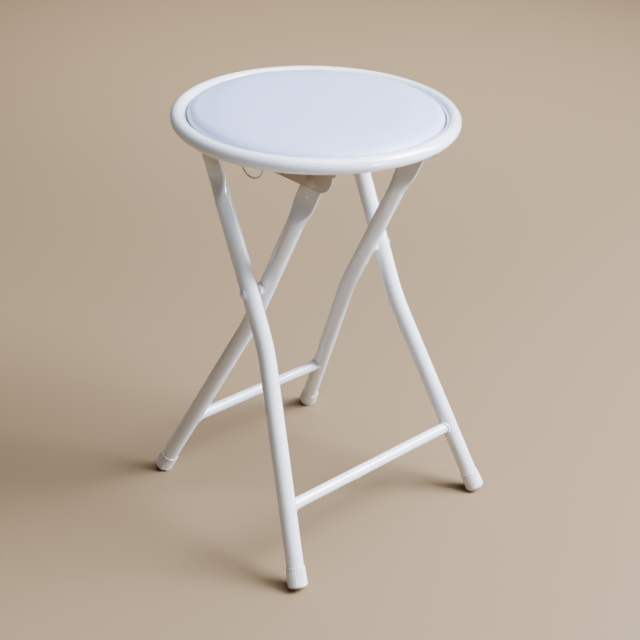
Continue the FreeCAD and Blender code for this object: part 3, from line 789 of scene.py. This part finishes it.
# Seat pad
# Foam on the board under a sheet of bluish white vinyl that is drawn over the edge and down inside
# the rim.  The pull leaves a rolled edge with faint puckers, and the air in the foam crowns the top.
VINYL_WHITE = (0.46, 0.54, 0.77, 1.0)
VINYL_SHADE = (0.42, 0.50, 0.735, 1.0)
PAD_GAP = 0.0004
PAD_ROLL_R = 0.011
PAD_CROWN = 0.003
PAD_VOXEL = 0.004
PAD_PRESSURE = 4.0
PAD_FRAMES = 20
PAD_CAP = 0.0022
PAD_EVENING = 8
PAD_SIDES = 160
CLOTH_QUALITY = 6
HELD_ABOVE_RIM = 0.0015
HELD_BY_RIM = 0.0008
PUCKERS = 46
PUCKER_SEED = 7
PUCKER_DEPTH = 0.00028
PUCKER_WIDTHS = (0.012, 0.035)
PUCKER_SIZES = (-1.0, 0.7)
PUCKER_INSET = 0.006
PUCKER_REACH = 0.008
PUCKER_DROP = 0.002
EDGE_SLACK = 0.0016
SLACK_MIDDLE = 0.23
SLACK_HALF = 0.44
SLACK_REACH = 0.02
RIDGE_SPACING = 0.0027
RIDGE_DEPTH = 0.0001
RIDGE_DRIFT = 9.0
RIDGES_BY_RIM = (0.0005, 0.003)
RIDGES_BY_TOP = (0.011, 0.006)
RIDGES_BEGIN = (-0.42, -0.22)
RIDGES_END = (0.50, 0.26)
PEBBLE_SHARE = 0.88
PAD_R = RIM_R - RIM_TUBE_R - PAD_GAP

# Fine ridges along the edge at the sheet's left, where it has been drawn unevenly
ridges, given, made = new_group("Edge ridges", {"Edge radius": 0.134, "Spacing": 0.0026}, ("Height",))
place = put(ridges, "ShaderNodeTexCoord").outputs["Object"]
spot = put(ridges, "ShaderNodeSeparateXYZ", {"Vector": place}).outputs
reach = work_out(ridges, "SQRT", work_out(ridges, "MULTIPLY_ADD", spot["X"], spot["X"], work_out(
    ridges, "MULTIPLY", spot["Y"], spot["Y"])))
inset = work_out(ridges, "SUBTRACT", given["Edge radius"], reach)
bearing = work_out(ridges, "ARCTAN2", spot["Y"], work_out(ridges, "MULTIPLY", spot["X"], -1.0))
drift = work_out(ridges, "MULTIPLY", noise(ridges, 45.0, 2.0, place), RIDGE_DRIFT)
turns = work_out(ridges, "DIVIDE", work_out(ridges, "MULTIPLY", inset, 2 * math.pi), given["Spacing"])
wave = work_out(ridges, "SINE", work_out(ridges, "ADD", turns, drift))
window = spread(ridges, inset, *RIDGES_BY_RIM)
for value, ends in ((inset, RIDGES_BY_TOP), (bearing, RIDGES_BEGIN), (bearing, RIDGES_END)):
    window = work_out(ridges, "MULTIPLY", window, spread(ridges, value, *ends))
ridges.links.new(work_out(ridges, "MULTIPLY", wave, window), made["Height"])

white_vinyl, tree, shader = new_material("White vinyl")
place = put(tree, "ShaderNodeTexCoord").outputs["Object"]
worn = use_group(tree, marks, patch_scale=16.0, speck_scale=520.0)
tone = tint(tree, worn["Patches"], 0.5, VINYL_WHITE, VINYL_SHADE)
lay_on(tree, shader, tone, work_out(tree, "MULTIPLY_ADD", worn["Patches"], 0.08, 0.33))
shader.inputs["Sheen Weight"].default_value = 0.05
cells = put(tree, "ShaderNodeTexVoronoi", {
    "Vector": place, "Scale": 950.0, "Smoothness": 0.6}, feature="SMOOTH_F1")
pebble = work_out(tree, "MULTIPLY_ADD", noise(tree, 420.0, 3.0, place), 0.6, cells.outputs["Distance"])
pulls = use_group(tree, ridges, edge_radius=PAD_R, spacing=RIDGE_SPACING)["Height"]
raise_skin(tree, shader, work_out(tree, "MULTIPLY_ADD", pebble, PEBBLE_SHARE, pulls), RIDGE_DEPTH, 0.6)


def pad_profile():
    """Half section of the pad: flat base, short upright side by the rim, rolled edge and crown."""
    roll_x = PAD_R - PAD_ROLL_R
    rise = PAD_ROLL_R + PAD_CROWN
    dome_r = (roll_x ** 2 + rise ** 2 - PAD_ROLL_R ** 2) / (2 * PAD_CROWN)
    lean = math.degrees(math.asin(roll_x / (dome_r - PAD_ROLL_R)))
    roll = arc(roll_x, RIM_Z, PAD_ROLL_R, 0, 90 - lean, 10)
    dome = arc(0.0, RIM_Z + rise - dome_r, dome_r, 90 - lean, 90, 20)
    return [(0.0, board_high.z), (PAD_R, board_high.z)] + roll + dome[1:]


def places_of(mesh):
    """The places of a mesh's points, one row each."""
    spots = np.empty(len(mesh.vertices) * 3)
    mesh.vertices.foreach_get("co", spots)
    return spots.reshape(-1, 3)


def move_points(mesh, spots):
    """Put a mesh's points at new places."""
    mesh.vertices.foreach_set("co", spots.ravel())
    mesh.update()


def settle(mesh):
    """Put a remeshed pad's points back on its half section, which takes out the grid's steps."""
    spots = places_of(mesh)
    reach = np.hypot(spots[:, 0], spots[:, 1])
    flat = np.stack([reach, spots[:, 2]], 1)
    section = np.array(pad_profile())
    start = section[:-1]
    run = np.diff(section, axis=0)
    share = ((flat[:, None] - start) * run).sum(2) / (run ** 2).sum(1)
    near = start + np.clip(share, 0.0, 1.0)[..., None] * run
    best = np.argmin(np.linalg.norm(near - flat[:, None], axis=2), axis=1)
    moved = near[np.arange(len(flat)), best]
    spots[:, :2] *= (moved[:, 0] / np.maximum(reach, 1e-9))[:, None]
    spots[:, 2] = moved[:, 1]
    move_points(mesh, spots)


def evened(mesh, values):
    """Values at a mesh's points, each averaged with those of its neighbours."""
    ends = np.empty(len(mesh.edges) * 2, dtype=np.int32)
    mesh.edges.foreach_get("vertices", ends)
    first, second = ends.reshape(-1, 2).T
    total = values.copy()
    count = np.ones((len(values), 1))
    for here, there in ((first, second), (second, first)):
        np.add.at(total, here, values[there])
        np.add.at(count, here, 1.0)
    return total / count


def inflate(piece):
    """Blow a pad up by cloth pressure, held at its base and round the rim, and cap how far it moves."""
    start = places_of(piece.data)
    reach = np.hypot(start[:, 0], start[:, 1])
    held = (start[:, 2] < RIM_Z + HELD_ABOVE_RIM) | (reach > PAD_R - HELD_BY_RIM)
    group = piece.vertex_groups.new(name="held")
    group.add([int(spot) for spot in np.nonzero(held)[0]], 1.0, "REPLACE")
    cloth = piece.modifiers.new("Inflate", "CLOTH")
    cloth.settings.use_pressure = True
    cloth.settings.uniform_pressure_force = PAD_PRESSURE
    cloth.settings.effector_weights.gravity = 0.0
    cloth.settings.vertex_group_mass = "held"
    cloth.settings.quality = CLOTH_QUALITY
    for step in range(1, PAD_FRAMES + 1):
        scene.frame_set(step)
    blown = places_of(evaluated_mesh(piece))
    piece.modifiers.remove(cloth)
    piece.vertex_groups.remove(group)
    scene.frame_set(1)
    shift = blown - start
    length = np.linalg.norm(shift, axis=1, keepdims=True)
    shift *= np.minimum(1.0, PAD_CAP / np.maximum(length, 1e-9))
    for _ in range(PAD_EVENING):
        shift = evened(piece.data, shift)
    move_points(piece.data, start + shift)


def pucker(mesh):
    """Shallow puckers round the rolled edge, and some slack at the left where it stands off the rim."""
    chance = np.random.default_rng(PUCKER_SEED)
    spots = places_of(mesh)
    angle = np.arctan2(spots[:, 1], spots[:, 0])
    reach = np.hypot(spots[:, 0], spots[:, 1])
    depth = np.zeros(len(spots))
    for _ in range(PUCKERS):
        middle = chance.uniform(-math.pi, math.pi)
        width = chance.uniform(*PUCKER_WIDTHS)
        size = chance.uniform(*PUCKER_SIZES)
        gap = (angle - middle + math.pi) % (2 * math.pi) - math.pi
        depth += size * np.exp(-(gap / width) ** 2)
    top = spots[:, 2] > RIM_Z + RIM_TUBE_R - PUCKER_DROP
    near_edge = np.exp(-((reach - PAD_R + PUCKER_INSET) / PUCKER_REACH) ** 2) * top
    normals = np.empty(len(spots) * 3)
    mesh.vertex_normals.foreach_get("vector", normals)
    spots += normals.reshape(-1, 3) * (depth * near_edge * PUCKER_DEPTH)[:, None]
    from_left = np.arctan2(spots[:, 1], -spots[:, 0])
    outer = np.clip((reach - PAD_R + SLACK_REACH) / SLACK_REACH, 0.0, 1.0)
    slack = EDGE_SLACK * np.exp(-((from_left - SLACK_MIDDLE) / SLACK_HALF) ** 4) * outer ** 2
    spots[:, :2] *= (1.0 - slack / np.maximum(reach, 1e-9))[:, None]
    move_points(mesh, spots)


pad_mesh = turn_profile("seat_pad", ungrooved(pad_profile()), PAD_SIDES, white_vinyl)
turn_outwards(pad_mesh)
pad = new_object("seat_pad", pad_mesh)
work_in(pad, "REMESH", mode="VOXEL", voxel_size=PAD_VOXEL)
settle(pad.data)
inflate(pad)
work_in(pad, "SUBSURF", levels=1, render_levels=1)
pucker(pad.data)
pad.data.materials.clear()
pad.data.materials.append(white_vinyl)
pad.data.shade_smooth()
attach(pad, "seat")
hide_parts("seat_cover", "seat_foam")

# Hem and staples
# The vinyl runs down the board's edge and is turned in under it, pleated where the circle takes it
# up, and held by a ring of wire staples.
HEM_T = 0.0008
HEM_R = PAD_R - HEM_T / 2
HEM_IN_R = HEM_R - 0.0172
HEM_CORNER_R = 0.0018
HEM_Z = board_low.z - 0.0006
HEM_TOP = board_high.z + 0.0006
HEM_STEPS = 8
PLEATS = 84
PLEAT_STEPS = 6
PLEAT_DEPTH = 0.00045
PLEAT_RUN_IN = 0.006
PLEAT_UNEVENNESS = 9.0
STAPLES = 30
STAPLE_RING_R = HEM_R - 0.0105
STAPLE_WIDTH = 0.010
STAPLE_WIRE = 0.0009
STAPLE_STEP = 0.0004
STAPLE_SIDES = 8
STAPLE_SWAY = 0.16
STAPLE_SEED = 3
STAPLE_Z = HEM_Z - HEM_T / 2 - PLEAT_DEPTH * 0.6

hem_line = [(HEM_R, HEM_TOP), (HEM_R, (HEM_TOP + board_low.z) / 2)]
hem_line += arc(HEM_R - HEM_CORNER_R, HEM_Z + HEM_CORNER_R, HEM_CORNER_R, 0, -90, 6)
hem_run = HEM_IN_R - HEM_R + HEM_CORNER_R
hem_line += [(HEM_R - HEM_CORNER_R + hem_run * step / HEM_STEPS, HEM_Z) for step in range(1, HEM_STEPS + 1)]
hem_points = []
for r, z in hem_line:
    share = min(1.0, max(0.0, (HEM_R - HEM_CORNER_R - r) / PLEAT_RUN_IN))
    hem_points.append((r, z, 0.0, -PLEAT_DEPTH * share))
hem_mesh = turn_profile(
    "cover_hem", hem_points, PLEATS * PLEAT_STEPS, white_vinyl, PLEATS, PLEAT_UNEVENNESS)
turn_outwards(hem_mesh)
hem = new_object("cover_hem", hem_mesh)
work_in(hem, "SOLIDIFY", thickness=HEM_T, offset=0.0)
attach(hem, "seat")

staple_tree, staple_keys, given, made = new_geometry_tree("Ring of staples", {
    "Count": "Int", "Ring Radius": "Float", "Height": "Float",
    "Turn": "Float", "Seed": "Int", "Material": "Material"})
ring = put(staple_tree, "GeometryNodeMeshCircle", {
    "Vertices": given["Count"], "Radius": given["Ring Radius"]}, fill_type="NONE").outputs[0]
lift = put(staple_tree, "ShaderNodeCombineXYZ", {"Z": given["Height"]}).outputs[0]
ring = put(staple_tree, "GeometryNodeSetPosition", {"Geometry": ring, "Offset": lift}).outputs[0]
place = put(staple_tree, "GeometryNodeInputPosition").outputs[0]
spot = put(staple_tree, "ShaderNodeSeparateXYZ", {"Vector": place}).outputs
bearing = work_out(staple_tree, "ARCTAN2", spot["Y"], spot["X"])
sway = put(staple_tree, "FunctionNodeRandomValue", {
    2: -1.0, 3: 1.0, "Seed": given["Seed"]}, data_type="FLOAT").outputs[1]
heading = work_out(staple_tree, "MULTIPLY_ADD", sway, given["Turn"], bearing)
spin = put(staple_tree, "ShaderNodeCombineXYZ", {"Z": heading}).outputs[0]
turned = put(staple_tree, "FunctionNodeEulerToRotation", {"Euler": spin}).outputs[0]
placed = put(staple_tree, "GeometryNodeInstanceOnPoints", {
    "Points": ring, "Instance": given["Geometry"], "Rotation": turned}).outputs[0]
close_tree(staple_tree, placed, given["Material"], made)


def staple_mesh():
    """One wire staple, crown down, with its legs running up into the board."""
    half = STAPLE_WIDTH / 2
    corner = STAPLE_WIRE
    side = [(0, y, z) for y, z in arc(half - corner, corner, corner, -90, 0, 4)]
    path = [(0, -y, z) for _, y, z in reversed(side)] + side
    path = [(0, -half, 3 * corner)] + path + [(0, half, 3 * corner)]
    return run_tree("staple", paths_mesh("staple", [path]), bead_tree, bead_keys, {
        "Radius": STAPLE_WIRE / 2, "Ripple": 0.0, "Ripple Length": 1.0, "Step": STAPLE_STEP,
        "Sides": STAPLE_SIDES, "Material": bare_steel})


staples_mesh = run_tree("hem_staples", staple_mesh(), staple_tree, staple_keys, {
    "Count": STAPLES, "Ring Radius": STAPLE_RING_R, "Height": STAPLE_Z,
    "Turn": STAPLE_SWAY, "Seed": STAPLE_SEED, "Material": bare_steel})
turn_outwards(staples_mesh)
staples = new_object("hem_staples", staples_mesh)
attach(staples, "seat")
